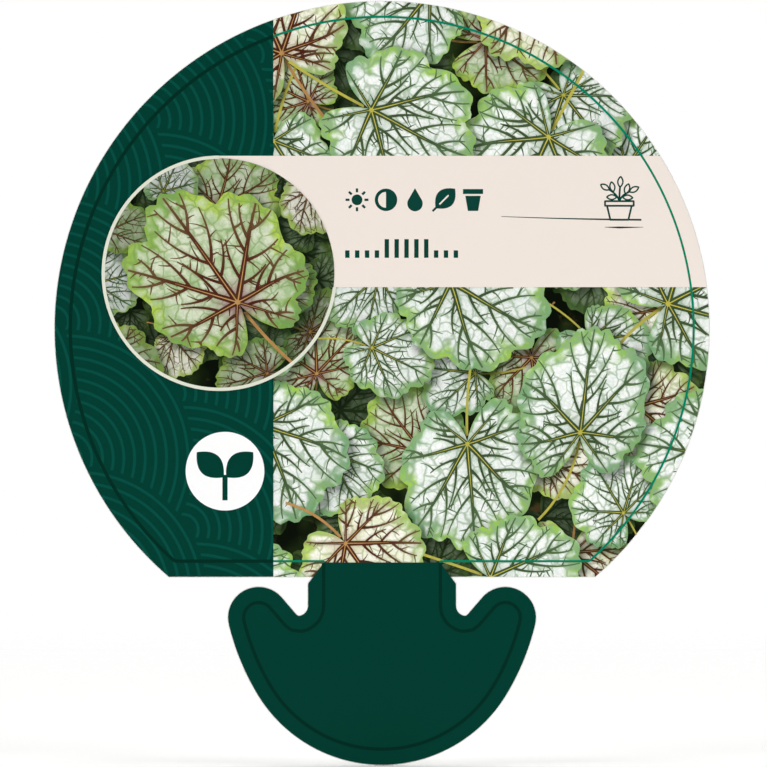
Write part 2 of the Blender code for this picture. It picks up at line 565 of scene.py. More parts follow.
def ink_on_plastic(tree, given):
    """The colour is uneven by a few parts in a hundred, in soft patches and in a fine grain, and the film's
    gloss and height follow the grain."""
    patches, grain = noise(tree, 160.0, 3.0), noise(tree, 3200.0, 1.0)
    uneven = add(tree, times(tree, patches, 0.6), times(tree, grain, 0.4))
    scale = add(tree, swing(tree, uneven, given["Mottle"]), 1.0)
    shaded = vectors(tree, "SCALE", {0: given["Color"], "Scale": scale})
    return {"Color": shaded, "Roughness": ramp(tree, grain, 0.3, 0.7, 0.34, 0.44), "Height": grain}


def new_material(name):
    """A material, with its node tree and the inputs of its shader."""
    made = bpy.data.materials.new(name)
    made.use_nodes = True
    return made, made.node_tree, made.node_tree.nodes["Principled BSDF"].inputs


def printed_material(name, given, mottle=0.1, relief=0.05):
    """An ink whose colour is given, or comes from a function of the node tree."""
    made, tree, shader = new_material(name)
    values = {"Color": given(tree) if callable(given) else given, "Mottle": mottle}
    group = node_group("ink on plastic", ink_on_plastic, INK_INPUTS, INK_OUTPUTS)
    ink = node(tree, "ShaderNodeGroup", values, node_tree=group).outputs
    height = {"Height": ink["Height"], "Strength": relief, "Distance": GRAIN_DEPTH}
    put(tree, shader["Base Color"], ink["Color"])
    put(tree, shader["Roughness"], ink["Roughness"])
    put(tree, shader["Normal"], node(tree, "ShaderNodeBump", height).outputs[0])
    put(tree, shader["Specular IOR Level"], PRINT_SHEEN)
    return made


LEAF_COLOURS = ("Body", "Mottle", "Net", "Beside", "Tips", "Sinuses", "Base", "Dark")
NET_SCALE = 460.0
FINE_NET_SCALE = 1300.0


def leaf_face(tree, given):
    """Patches of noise mix body and mottling, and the edges of cells give the fine net. The margin's colour
    goes from the tips to the hollows between lobes, and its inner edge follows the net. Green runs beside
    the veins, and the base has its own tint. The painted light scales it all towards the dark colour."""
    patches, fine = noise(tree, 420.0, 3.0), noise(tree, 1500.0)
    face = blend(tree, ramp(tree, patches, 0.42, 0.68), given["Body"], given["Mottle"])
    inwards = add(tree, painted(tree, "inwards"), swing(tree, patches, 0.30))
    inwards = add(tree, inwards, swing(tree, cell_edges(tree, NET_SCALE, 0.42), -0.16))
    broad = ramp(tree, noise(tree, 95.0, 1.0), 0.38, 0.62, -0.15, 0.6)
    tipwards = add(tree, times(tree, painted(tree, "lobe"), 0.55), broad)
    rim = blend(tree, tipwards, given["Sinuses"], given["Tips"])
    rim = blend(tree, ramp(tree, fine, 0.4, 0.7, 0.0, 0.3), rim, given["Net"])
    face = blend(tree, ramp(tree, inwards, 0.0, 0.24, 1.0, 0.0), face, rim)
    for scale, width, strength in ((NET_SCALE, 0.1, 0.7), (FINE_NET_SCALE, 0.16, 0.18)):
        face = blend(tree, times(tree, cell_edges(tree, scale, width), strength), face, given["Net"])
    from_vein = add(tree, painted(tree, "vein"), swing(tree, fine, 0.06))
    face = blend(tree, times(tree, ramp(tree, from_vein, 0.008, 0.06, 1.0, 0.0), 0.66), face, given["Beside"])
    near_base = ramp(tree, painted(tree, "base"), 0.0, 0.36, 1.0, 0.0)
    face = blend(tree, times(tree, near_base, 0.75), face, given["Base"])
    return {"Color": blend(tree, painted(tree, "light"), given["Dark"], face)}


def cell_edges(tree, scale, width):
    """1 along the edges of irregular cells, falling softly to 0 at this share of a cell's size from them. The
    place is pushed about by noise first, so that no edge is straight."""
    push = vectors(tree, "SUBTRACT", {0: noise(tree, 1.3 * scale, 1.0, "Color"), 1: (0.5, 0.5, 0.5)})
    push = vectors(tree, "SCALE", {0: push, "Scale": 0.7 / scale})
    values = {"Vector": vectors(tree, "ADD", {0: place(tree), 1: push}), "Scale": scale}
    cells = node(tree, "ShaderNodeTexVoronoi", values, feature="DISTANCE_TO_EDGE")
    return ramp(tree, cells.outputs["Distance"], 0.0, width, 1.0, 0.0)


def leaf_material(name, inks):
    def face(tree):
        group = node_group("leaf face", leaf_face, dict.fromkeys(LEAF_COLOURS, "Color"), {"Color": "Color"})
        return node(tree, "ShaderNodeGroup", dict(zip(LEAF_COLOURS, inks)), node_tree=group).outputs[0]

    return printed_material(name, face, mottle=0.06, relief=0.02)


def vein_material(name, near, far, dark):
    """Veins: the colour runs from the leaf's base out to its margin, and the painted light scales it."""
    def line(tree):
        run = blend(tree, ramp(tree, painted(tree, "reach"), 0.45, 0.95), near, far)
        uneven = ramp(tree, noise(tree, 900.0), 0.3, 0.7, 0.0, 0.25)
        return blend(tree, painted(tree, "light"), dark, blend(tree, uneven, run, far))

    return printed_material(name, line, mottle=0.06, relief=0.02)


# The picture of leaves. Lengths on a leaf are shares of its radius

VEIN_SPACING = math.radians(46)
MAIN_VEINS = np.arange(-3, 4)
VEIN_WEIGHTS = np.array([0.6, 0.85, 1, 1, 1, 0.85, 0.6])[:, None]
MAIN_POINTS, SIDE_POINTS, RIB_POINTS = 15, 8, 9
# Side veins: where each starts along its main vein, how far out it ends, and how far towards the next main
# vein
FORKS = np.array([(0.22, 0.66, 0.46), (0.42, 0.97, 0.38), (0.68, 0.98, 0.18)])
# Branchlets and thorns: points along each, and then how many spring from a side vein and from a main one,
# with their least and greatest lengths
TWIGS = ((4, (3, 0.09, 0.24), (3, 0.07, 0.17)), (3, (2, 0.025, 0.06), (6, 0.035, 0.07)))
# Main veins, side veins, branchlets, thorns and midribs: half the width at each end, the height above the
# blade, and how much nearer the ink is to what veins have at the margin
STRIPS = (
    (0.037, 0.011, 8 * MICRON, 0.0),
    (0.019, 0.0075, 6 * MICRON, 0.1),
    (0.012, 0.0035, 4 * MICRON, 0.3),
    (0.013, 0.001, 2 * MICRON, 0.4),
    (0.0075, 0.0012, MIDRIB_LIFT, 0.0),
)
STAR_RADIUS = 0.03
STALK_HALF = 0.018
STALK_LENGTH = 1.15
STALK_REACH = 0.55  # its ink is that of a vein this far out
STALK_LIGHT = 0.85
BESIDE_SIDE_VEINS = 0.012  # the green beside a side vein is narrower by this
VEIN_END = 0.1 * MM  # veins stop this far short of the margin
# What each leaf's shape is drawn from
OFFSETS = (0.30, 0.46)  # from the blade's middle to the petiole's end
WAVES = (0.10, 0.07, 0.05, 0.04)
TEETH = (3.0, 3.0, 4.0)
TOOTH_DEPTH = 0.055
LOBE_DEPTHS = (0.08, 0.14)
NOTCHES = (0.24, 0.5)
NOTCH_DEPTH = 0.94
SQUEEZES = (0.78, 1.0)
# Light on the leaves
LIGHT_FROM = np.array([-0.5, 0.86])
LIGHT_EVEN, LIGHT_SLOPE = 0.99, 0.07
HOLLOW_SHADE, HOLLOW_RADIUS = 0.16, 0.25
DEEPEST_SHADOW = 0.32
SHADOW_STEP = np.array([0.5 * MM, -0.6 * MM])
SHADOW_REACH = 1.9 * MM
UNDERLAP = 0.12 * MM  # how far a leaf runs on under the one above it
SMALL_LEAF = 7 * MM  # a leaf of a smaller radius has fewer points and no thorns along its veins
BLADE_STEPS, SMALL_BLADE_STEPS = (140, 16), (96, 10)


def bump(phase, power):
    """1 in the middle of each whole step of the phase and 0, in a sharp notch, between two steps."""
    off = np.abs(phase - np.round(phase)) * 2
    return 1 - off**power


def distance_and_angle(own):
    return np.linalg.norm(own, axis=1), np.arctan2(own[:, 1], own[:, 0])


class Leaf:
    """One leaf. Its own plane has the blade's radius as its unit and the petiole's end as its origin, with
    the tip along the first axis. It is turned to its heading and squeezed along one direction, as a tilted
    leaf is."""

    def __init__(self, random, middle, radius, heading, kind, depth):
        self.random, self.radius, self.kind, self.depth = random, radius, kind, depth
        self.offset = random.uniform(*OFFSETS)
        self.waves = random.uniform(-1, 1, 4) * WAVES
        self.phases = random.uniform(0, TURN, 4)
        self.teeth = random.choice(TEETH)
        self.lobe_depth = random.uniform(*LOBE_DEPTHS)
        self.notch = random.uniform(*NOTCHES)
        self.middle = np.array(middle)
        squeeze, tilt = random.uniform(*SQUEEZES), random.uniform(0, math.pi)
        turn, lean = rotation(heading), rotation(tilt)
        self.matrix = radius * lean @ np.diag([1.0, squeeze]) @ lean.T @ turn
        self.origin = self.middle - self.matrix @ np.array([self.offset, 0.0])
        self.inverse = np.linalg.inv(self.matrix)

    def out(self, points):
        return points @ self.matrix.T + self.origin

    def own(self, points):
        return (points - self.origin) @ self.inverse.T

    def warped(self, angle):
        """The angle pushed to and fro by four waves, so that no two lobes are alike."""
        steps = np.arange(1, 5)
        return angle + (self.waves * np.sin(np.multiply.outer(angle, steps) + self.phases)).sum(axis=-1)

    def edge(self, angle):
        """Distance from the petiole to the margin: a circle seen from a point off its middle, less the lobes
        between the main veins, the smaller teeth, and the narrow notch at the petiole."""
        circle = self.offset * np.cos(angle) + np.sqrt(1 - (self.offset * np.sin(angle)) ** 2)
        phase = self.warped(angle) / VEIN_SPACING
        lobes = 1 - self.lobe_depth * (1 - bump(phase, 2.6))
        teeth = 1 - TOOTH_DEPTH * (1 - bump(phase * self.teeth + 0.3 * np.sin(2.3 * phase), 1.5))
        left = (math.pi - np.abs(np.arctan2(np.sin(angle), np.cos(angle)))) / self.notch
        return circle * lobes * teeth * (1 - NOTCH_DEPTH * np.exp(-(left**2.6)))

    def inside(self, points):
        """About the distance to the margin, above nought inside."""
        reach, angle = distance_and_angle(self.own(points))
        return (self.edge(angle) - reach) * self.radius

    def outside(self, underlap=0.0):
        return lambda points: underlap - self.inside(points)

    def overlaps(self, other):
        return np.linalg.norm(self.middle - other.middle) < 1.04 * (self.radius + other.radius)

    def main_angles(self):
        angle = MAIN_VEINS * VEIN_SPACING
        for _ in range(4):
            angle = angle - (self.warped(angle) - MAIN_VEINS * VEIN_SPACING)
        return angle

    def main_veins(self):
        """Each runs out from the petiole, swung a little to one side in the middle of its way."""
        angle = self.main_angles()
        t = np.linspace(0, 1, MAIN_POINTS)
        turn = angle[:, None] + self.random.uniform(-0.07, 0.07, len(angle))[:, None] * np.sin(math.pi * t)
        return (0.96 * self.edge(angle)[:, None] * t)[..., None] * polar(turn)

    def side_veins(self, mains):
        """Curves of the second degree from points along the main veins to points near the margin, bowed so
        that each leaves its main vein steeply and then bends towards the margin. A few are left out, and
        most of them where the margin is near the petiole."""
        random, angle = self.random, self.main_angles()
        shape = (len(mains), len(FORKS), 2)
        along, out, towards = FORKS.T[:, None, :, None]
        side = np.array([-1, 1])
        along = np.clip(along + random.uniform(-0.08, 0.08, shape), 0.1, 0.9)
        start, _ = point_on(mains, along.reshape(len(mains), -1))
        turn = angle[:, None, None] + side * VEIN_SPACING * towards * random.uniform(0.8, 1.12, shape)
        reach = self.edge(turn) * out * random.uniform(0.92, 1.02, shape)
        end = (reach[..., None] * polar(turn)).reshape(-1, 2)
        left_out = 0.06 + (1 - self.edge(angle) / 1.15)[:, None, None]
        kept = (np.abs(turn) < math.pi - 1.1 * self.notch) & (random.random(shape) > left_out)
        kept = kept.reshape(-1)
        start, end = start.reshape(-1, 2)[kept], end[kept]
        bow = 0.14 * (end - start)[:, ::-1] * (-1, 1) * np.broadcast_to(side, shape).reshape(-1, 1)[kept]
        return curves(start, (start + end) / 2 + bow, end, SIDE_POINTS)

    def twigs(self, paths, count, number, least, most):
        """Short curved spurs from random points of the paths, steeply to either side. The longest path keeps
        all of them, and a shorter one keeps fewer."""
        random = self.random
        here, ahead = point_on(paths, random.uniform(0.05, 0.93, (len(paths), number)))
        long = np.linalg.norm(paths[:, -1] - paths[:, 0], axis=1)
        kept = random.random((len(paths), number)) < (long / long.max())[:, None]
        here, ahead = here[kept], ahead[kept]
        turn = np.arctan2(ahead[:, 1], ahead[:, 0])
        turn += random.choice((-1, 1), len(here)) * random.uniform(0.7, 1.2, len(here))
        reach = least + (most - least) * random.random(len(here)) ** 1.4
        end = here + reach[:, None] * polar(turn)
        bend = random.uniform(-0.2, 0.2, len(here))[:, None] * (end - here)[:, ::-1] * (-1, 1)
        return curves(here, (here + end) / 2 + bend, end, count)

    def light(self, points, over):
        """How brightly points of the leaf are lit: its depth in the plant, a slope of light across the
        blade, a hollow at the petiole, and the soft shadow of each leaf above, whose outline is moved down
        and right."""
        reach, _ = distance_and_angle(self.own(points))
        slope = ((points - self.middle) / self.radius) @ LIGHT_FROM
        hollow = 1 - HOLLOW_SHADE * np.exp(-((reach / HOLLOW_RADIUS) ** 2))
        light = self.depth * (LIGHT_EVEN + LIGHT_SLOPE * slope) * hollow
        for other in over:
            clear = np.clip(-other.inside(points - SHADOW_STEP) / SHADOW_REACH, 0, 1)
            light = light * (DEEPEST_SHADOW + (1 - DEEPEST_SHADOW) * clear * (2 - clear))
        return np.clip(light, 0, 1)

    def blade(self, around, rings):
        """The face: u runs round the petiole and v runs out to the margin. Painted values are the way inwards
        from the margin, the lobe's phase and the way out from the base."""
        angle = np.linspace(-math.pi, math.pi, around, endpoint=False)
        film = fan(np.zeros(2), self.edge(angle)[:, None] * polar(angle), rings, ease=1.25)
        base = np.linalg.norm(film.points, axis=1)
        lobe = bump(self.warped(angle) / VEIN_SPACING, 1.3)
        edge, lobe = (np.append(np.tile(row, rings), 1.0) for row in (self.edge(angle), lobe))
        return film.paint(inwards=edge - base, lobe=lobe, base=base, level=0.0)

    def films(self):
        """The blade, its veins and its midribs, in the leaf's own plane, and the main and side veins'
        paths."""
        mains = self.main_veins()
        sides = self.side_veins(mains)
        sorts = [(mains, VEIN_WEIGHTS), (sides, 1)]
        for count, from_sides, from_mains in TWIGS:
            sprung = self.twigs(sides, count, *from_sides), self.twigs(mains, count, *from_mains)
            sorts.append((np.concatenate(sprung), 1))
        sorts.append((mains[:, :RIB_POINTS], VEIN_WEIGHTS))
        strips = []
        for (paths, weights), (first, last, lift, paler) in zip(sorts, STRIPS):
            steps = paths.shape[1]
            lifts = lift + np.repeat(np.arange(len(paths)), 2 * steps) % LIFTS * LIFT_BETWEEN
            strip = ribbons(paths, weights * np.linspace(first, last, steps))
            strips.append(strip.paint(paler=paler, level=lifts))
        star = fan(np.zeros(2), circle((0, 0), STAR_RADIUS, 12), 1).paint(paler=0.0, level=STAR_LIFT)
        small = self.radius < SMALL_LEAF or self.kind == "dim"
        veins = strips[:3] if small else strips[:4]
        face = self.blade(*(SMALL_BLADE_STEPS if small else BLADE_STEPS))
        return {"blades": face, "veins": join(veins), "midribs": join([strips[4], star])}, mains, sides

    def stalk(self):
        """Its path goes from the petiole's end out through the notch, bending to one side."""
        t = np.linspace(0, 1, 16)
        turn = math.pi + 6 * (self.offset - sum(OFFSETS) / 2) * t
        film = ribbons((STALK_LENGTH * t[:, None] * polar(turn))[None], STALK_HALF)
        return Film(self.out(film.points), film.faces, reach=STALK_REACH)


def point_on(paths, along):
    """The point at each share of the way along its path, and the path's step there."""
    at = along * (paths.shape[1] - 1)
    low = at.astype(int)
    rows = np.arange(len(paths))[:, None]
    step = paths[rows, low + 1] - paths[rows, low]
    return paths[rows, low] + (at - low)[..., None] * step, step


def distance_to(paths, points):
    """Distance from each point to the nearest straight piece of the paths, which are thinned to every other
    point first."""
    paths = np.asarray(paths[:, ::2], np.float32)
    points = np.asarray(points, np.float32)
    a = paths[:, :-1].reshape(-1, 2)
    ab = paths[:, 1:].reshape(-1, 2) - a
    ap = points[:, None] - a[None]
    t = np.clip((ap * ab).sum(axis=2) / np.maximum((ab**2).sum(axis=1), 1e-12), 0, 1)
    return np.sqrt(((ap - t[..., None] * ab) ** 2).sum(axis=2).min(axis=1))


def in_layers(leaves):
    """The same leaves, put in the order of as few layers as a first choice for each finds, where no two
    leaves of one layer overlap."""
    layers = []
    for number, leaf in enumerate(leaves):
        taken = {layers[i] for i in range(number) if leaf.overlaps(leaves[i])}
        layers.append(min(set(range(len(taken) + 1)) - taken))
    return [leaves[i] for i in np.argsort(layers, kind="stable")]


def levels(leaves):
    """Each leaf lies one step above the highest leaf under it that it overlaps."""
    steps = []
    for number, leaf in enumerate(leaves):
        under = [steps[i] for i in range(number) if leaf.overlaps(leaves[i])]
        steps.append(max(under) + 1 if under else 0)
    return steps


def draw_leaves(leaves, sides):
    """Films for each kind of leaf, lowest leaf first. Every leaf is cut away where a higher one hides it,
    and its stalk where any as high does."""
    made = {}
    steps = levels(leaves)
    for number, (leaf, step) in enumerate(zip(leaves, steps)):
        over = [other for other in leaves[number + 1:] if leaf.overlaps(other)]
        as_high = [other for other, its_step in zip(leaves, steps) if its_step >= step]
        stalk = leaf.stalk().trim(*sides, *(other.outside() for other in as_high))
        if leaf.kind != "dim" and len(stalk.faces):
            light = STALK_LIGHT * leaf.light(stalk.points, [leaf] + over)
            stalk.paint(light=light, level=MICRON + step * LEAF_STEP)
            made.setdefault((leaf.kind, "midribs"), []).append(stalk)
        films, mains, branches = leaf.films()
        for part, film in films.items():
            own = film.points
            film.points = leaf.out(own)
            if part != "blades":
                reach, angle = distance_and_angle(own)
                film.paint(reach=reach / leaf.edge(angle) + film.painted.pop("paler"))
                film = film.trim(lambda points: leaf.inside(points) - VEIN_END)
            film = film.trim(*sides, *(other.outside(UNDERLAP) for other in over))
            if not len(film.faces):
                continue
            if part == "blades":
                own = leaf.own(film.points)
                beside = distance_to(branches, own) + BESIDE_SIDE_VEINS
                film.paint(vein=np.minimum(distance_to(mains, own), beside))
            film.paint(light=leaf.light(film.points, over), level=film.painted["level"] + step * LEAF_STEP)
            made.setdefault((leaf.kind, part), []).append(film)
    return {key: join(films) for key, films in made.items()}


def scatter(random, count, box, radii, spacing, kinds, depth):
    """Draws leaves one after another and keeps a draw if its middle is far enough from those kept before. The
    radii are in millimetres."""
    kept = []
    for _ in range(count):
        middle = np.array([random.uniform(*box[0]), random.uniform(*box[1])])
        radius, heading = random.uniform(radii[0] * MM, radii[1] * MM), random.uniform(0, TURN)
        kind, shade = random.choice(kinds), random.uniform(*depth)
        if all(np.linalg.norm(middle - leaf.middle) / (radius + leaf.radius) > spacing for leaf in kept):
            kept.append(Leaf(random, middle, radius, heading, kind, shade))
    return kept


def picture_leaves():
    """Leaves for the large picture: a dim floor of leaves, a middle layer and the large ones in front."""
    random = np.random.default_rng(bpy.context.scene.label_picture.seed)
    box = ((bpy.context.scene.label_panel.edge - 6 * MM, 52 * MM), (-2 * MM, 93 * MM))
    front = scatter(random, 400, box, (11, 13), 0.78, ("silver",) * 4 + ("lime",), (0.97, 1.0))
    middle = scatter(random, 500, box, (7, 9.5), 0.66, ("silver",) * 3 + ("lime", "green"), (0.82, 1.0))
    back = scatter(random, 600, box, (6, 9), 0.6, ("dim",), (0.2, 0.6))
    middle = [leaf for leaf in middle if hidden_share(leaf, front) < 0.8]
    back = [leaf for leaf in back if hidden_share(leaf, front + middle) < 0.95]
    return in_layers(back) + in_layers(middle) + in_layers(front)


def hidden_share(leaf, over):
    rays = leaf.out(arc((leaf.offset, 0), 0.7, 0, TURN, 17))
    return (np.max([other.inside(rays) for other in over], axis=0) > 0).mean()


def roundel_leaves(centre):
    """One large green leaf over smaller ones."""
    random = np.random.default_rng(bpy.context.scene.label_picture.seed + 20)
    box = [(middle - 17 * MM, middle + 17 * MM) for middle in centre]
    back = scatter(random, 200, box, (5, 8), 0.5, ("dim",), (0.2, 0.45))
    middle = scatter(random, 200, box, (5, 8), 0.74, ("green",) * 4 + ("lime", "silver"), (0.35, 0.9))
    hero = Leaf(random, centre + np.array([-0.6, 0.4]) * MM, 14.6 * MM, math.radians(122), "green", 1.0)
    hero.lobe_depth = 0.17
    return in_layers(back) + in_layers(middle) + [hero]


# Screen values in the order of LEAF_COLOURS. The silver leaf takes all but its dark from the sidebar
SHADOW, DEEP_SHADOW = (16, 38, 10), (6, 18, 4)
LEAF_INKS = {
    "lime": ((253, 250, 238), (236, 240, 206), (170, 180, 130), (150, 138, 100), (140, 184, 92),
             (186, 214, 90), (214, 190, 160), SHADOW),
    "green": ((214, 222, 196), (172, 196, 148), (128, 156, 92), (140, 146, 100), (110, 162, 76),
              (178, 206, 74), (158, 84, 116), SHADOW),
    "dim": ((156, 178, 142), (112, 142, 98), (86, 114, 64), (62, 86, 46), (94, 136, 72), (124, 156, 68),
            (112, 130, 94), DEEP_SHADOW),
}
# Veins and midribs near the base, at the margin and in the dark, where a name stands for one of the
# sidebar's inks
VEIN_INKS = {
    "olive veins": ("vein", (86, 114, 74), SHADOW),
    "red veins": ((78, 32, 26), (104, 80, 50), SHADOW),
    "dull veins": ((52, 72, 38), (78, 102, 58), DEEP_SHADOW),
    "pale midribs": ("midrib", (130, 140, 80), SHADOW),
    "tan midribs": ((206, 158, 96), (140, 90, 56), SHADOW),
}
KIND_LINES = {
    "veins": {"silver": "olive veins", "lime": "red veins", "green": "red veins", "dim": "dull veins"},
    "midribs": {"silver": "pale midribs", "lime": "tan midribs", "green": "tan midribs", "dim": "dull veins"},
}


def picture_materials():
    """The finishes of each kind of leaf, of its veins and of its midribs."""
    p = bpy.context.scene.label_picture
    inks = {kind: [screen(*ink) for ink in row] for kind, row in LEAF_INKS.items()}
    inks["silver"] = (p.body, p.mottle, p.net, p.beside, p.tips, p.sinuses, p.base, screen(*SHADOW))
    lines = {}
    for name, (near, far, dark) in VEIN_INKS.items():
        near = getattr(p, near) if isinstance(near, str) else screen(*near)
        lines[name] = vein_material(name, near, screen(*far), screen(*dark))
    made = {part: {kind: lines[name] for kind, name in row.items()} for part, row in KIND_LINES.items()}
    made["blades"] = {kind: leaf_material(f"{kind} leaf", row) for kind, row in inks.items()}
    return made


def add_leaves(prefix, leaves, level, sides):
    finishes = picture_materials()
    for (kind, part), film in draw_leaves(leaves, sides).items():
        add_piece(f"{prefix}_{kind}_{part}", film, level, finishes[part][kind])


def ground_material(name):
    """The dark between the leaves: near black, with brown and green patches of what lies deeper."""
    def dark(tree):
        gap = bpy.context.scene.label_picture.gap
        deep = blend(tree, ramp(tree, noise(tree, 150.0), 0.45, 0.7), gap, screen(32, 46, 16))
        return blend(tree, ramp(tree, noise(tree, 420.0, 3.0), 0.58, 0.75), deep, screen(60, 50, 26))

    return printed_material(name, dark)


class LABEL_OT_picture(bpy.types.Operator):
    """Print the large picture of leaves"""

    bl_idname = "label.picture"
    bl_label = "Picture of leaves"

    def execute(self, context):
        left = context.scene.label_panel.edge - MM
        ground = span(PRINT_LOW, PRINT_TOP, left, HEAD_RADIUS, 90, 12).trim(*ON_HEAD)
        dark = ground_material("picture ground")
        add_piece("picture_ground", ground, GROUND_LEVEL, dark)
        add_leaves("picture", picture_leaves(), LEAF_LEVEL, (*ON_HEAD, right_of(left)))
        return {"FINISHED"}


class LABEL_OT_panel(bpy.types.Operator):
    """Print the green panel and its tonal stripes"""

    bl_idname = "label.panel"
    bl_label = "Green panel"

    def execute(self, context):
        p = context.scene.label_panel
        sides = (*ON_HEAD, out_of(right_of(p.edge)))
        film = span(PRINT_LOW, PRINT_TOP, head_side(-1), p.edge, 240, 4).trim(*sides)
        add_piece("panel", film, PANEL_LEVEL, printed_material("panel green", p.green))
        pale = printed_material("stripe green", p.stripe_green)
        add_piece("panel_stripes", fan_stripes(p).trim(*sides), STRIPE_LEVEL, pale)
        return {"FINISHED"}


def fan_stripes(p):
    """Overlapping fans of arcs about a common middle, set out in staggered rows, as in the traditional wave
    pattern. The fans of each row hide the lower parts of those in the row above. The whole is then turned."""
    across, down = 2 * p.fan_radius, 0.5 * p.fan_radius
    centres = []
    for row in range(-9, 10):
        for column in range(-3, 4):
            centres.append((row, np.array([(column + 0.5 * (row % 2)) * across, -row * down])))
    radii = p.fan_radius - p.stripe_gap * np.arange(int(p.fan_radius / p.stripe_gap))
    arcs = ribbons(radii[:, None, None] * polar(np.linspace(0, TURN, 120)), p.stripe_width / 2)
    films = []
    for row, centre in centres:
        near = [other for later, other in centres if row < later <= row + 3]
        near = [other for other in near if np.linalg.norm(other - centre) < 2 * p.fan_radius]
        hiding = [out_of(in_circle(other, p.fan_radius + p.stripe_gap * 0.6)) for other in near]
        films.append(Film(arcs.points + centre, arcs.faces).trim(*hiding))
    stripes = join(films)
    return Film(stripes.points @ rotation(p.fan_turn).T + (p.edge, HEAD_CENTRE[1]), stripes.faces)


class LABEL_OT_band(bpy.types.Operator):
    """Print the cream band, its row of pictograms, the season scale and the line drawing"""

    bl_idname = "label.band"
    bl_label = "Cream band"

    def execute(self, context):
        p = context.scene.label_band
        r = context.scene.label_roundel
        film = span(p.low, p.high, r.centre[0], head_side(1), 40, 40)
        film = film.trim(out_of(in_circle(r.centre, r.radius - r.ring)))
        add_piece("band", film, BAND_LEVEL, printed_material("band cream", p.cream, EVEN))
        ink = printed_material("mark ink", p.ink, EVEN)
        row = []
        for number, glyph in enumerate((sun(), half_shade(), drop(), leaf_glyph(), pot())):
            middle = (p.glyph[0] + number * p.glyph_pitch, p.glyph[1])
            row += [moved(film, middle, p.glyph_size / 2) for film in glyph]
        add_piece("pictograms", stacked(row), MARK_LEVEL, ink)
        add_piece("season_scale", season_scale(p), MARK_LEVEL, ink)
        drawing = [moved(film, p.drawing, MM) for film in potted_sprig()]
        add_piece("line_drawing", stacked(drawing), MARK_LEVEL, ink)
        return {"FINISHED"}


def moved(film, middle, scale):
    return Film(film.points * scale + np.array(middle, float), film.faces)


def stacked(films):
    """One film from several, each a little above the one before it, so that none lies in another."""
    return join([film.paint(level=number * LIFT_BETWEEN) for number, film in enumerate(films)])


def stroke(points, half, closed=False):
    return ribbons(np.array(points, float)[None], half, closed)


def outline(points, half):
    return stroke(resample(np.array(points, float), 0.1), half, closed=True)


def leaf_shape(start, end, bulge):
    """A closed path of two curves from start to end, bulging to both sides."""
    start, end = np.array(start, float), np.array(end, float)
    side = 2 * bulge * (end - start)[::-1] * (-1, 1)
    there, back = (curve(start, (start + end) / 2 + way * side, end, 16) for way in (1, -1))
    return np.vstack([there, back[-2:0:-1]])


def filled(points):
    points = np.array(points, float)
    return fan(points.mean(axis=0), points, 1)


def block(low, low_half, high, high_half):
    """The corners of an upright shape with level ends of these half widths."""
    return [(-low_half, low), (low_half, low), (high_half, high), (-high_half, high)]


def sun():
    """A disc with eight rays. Like every pictogram it fills the square from -1 to 1."""
    rays = np.array([0.64, 0.98])[None, :, None] * polar(np.arange(8) / 8 * TURN)[:, None]
    return [disc((0, 0), 0.46, 1, 60), ribbons(rays, 0.1)]


def half_shade():
    ring = stroke(circle((0, 0), 0.82, 72), 0.14, closed=True)
    return [disc((0, 0), 0.8, 6, 72).trim(right_of(0)), ring]


def drop():
    """A circle closed by the two lines that touch it from the tip."""
    centre, radius, tip = (0, -0.32), 0.66, (0, 1)
    touch = math.acos(radius / (tip[1] - centre[1]))
    round_part = arc(centre, radius, math.pi / 2 - touch, touch - 1.5 * math.pi, 48)
    return [fan(np.array(centre), np.vstack([round_part, tip]), 1)]


def leaf_glyph():
    """A leaf on its stalk, with its midrib left blank."""
    def beside_midrib(points):
        return np.maximum(np.abs(points[:, 1] - points[:, 0]) - 0.1, points.sum(axis=1) - 0.9)

    face = split(split(filled(leaf_shape((-0.72, -0.72), (0.95, 0.95), 0.34))))
    return [face.trim(beside_midrib), stroke([(-0.98, -0.98), (-0.4, -0.4)], 0.09)]


def split(film):
    """Each triangle in four, through the middles of its sides."""
    a, b, c = (film.points[film.faces[:, i]] for i in range(3))
    corners = np.stack([a, b, c, (a + b) / 2, (b + c) / 2, (c + a) / 2], axis=1)
    faces = np.array([[0, 3, 5], [3, 1, 4], [5, 4, 2], [3, 4, 5]])
    starts = 6 * np.arange(len(film.faces))[:, None, None]
    return Film(corners.reshape(-1, 2), (starts + faces).reshape(-1, 3))


def pot():
    return [filled(block(0.5, 0.86, 0.92, 0.86)), filled(block(-0.95, 0.44, 0.34, 0.66))]


def season_scale(p):
    """Twelve upright bars, tall in the months of the season."""
    months = np.arange(12)
    height = np.where(np.isin(months, range(4, 9)), 1.0, 0.4) * p.scale_height
    foot = np.column_stack([p.scale[0] + p.scale_pitch * months, np.full(12, p.scale[1])])
    return ribbons(np.stack([foot, foot + np.outer(height, (0, 1))], axis=1), p.scale_bar / 2)


# The sprig's stems, as a curve's middle and end, and its leaves from start to end
STEMS = (((-0.3, 3.8), (-1.5, 4.5)), ((0, 3.8), (0.1, 4.9)), ((0.3, 3.7), (1.5, 4.2)))
SPRIG_LEAVES = (
    ((-1.5, 4.5), (-2.8, 5.3)), ((0.1, 4.9), (0.2, 6.5)), ((1.5, 4.2), (2.9, 4.9)),
    ((-0.9, 4.2), (-1.2, 5.7)), ((0.9, 3.9), (1.4, 5.4)), ((-0.4, 3.4), (-1.9, 3.4)), ((0.5, 3.4), (2.0, 3.3)),
)


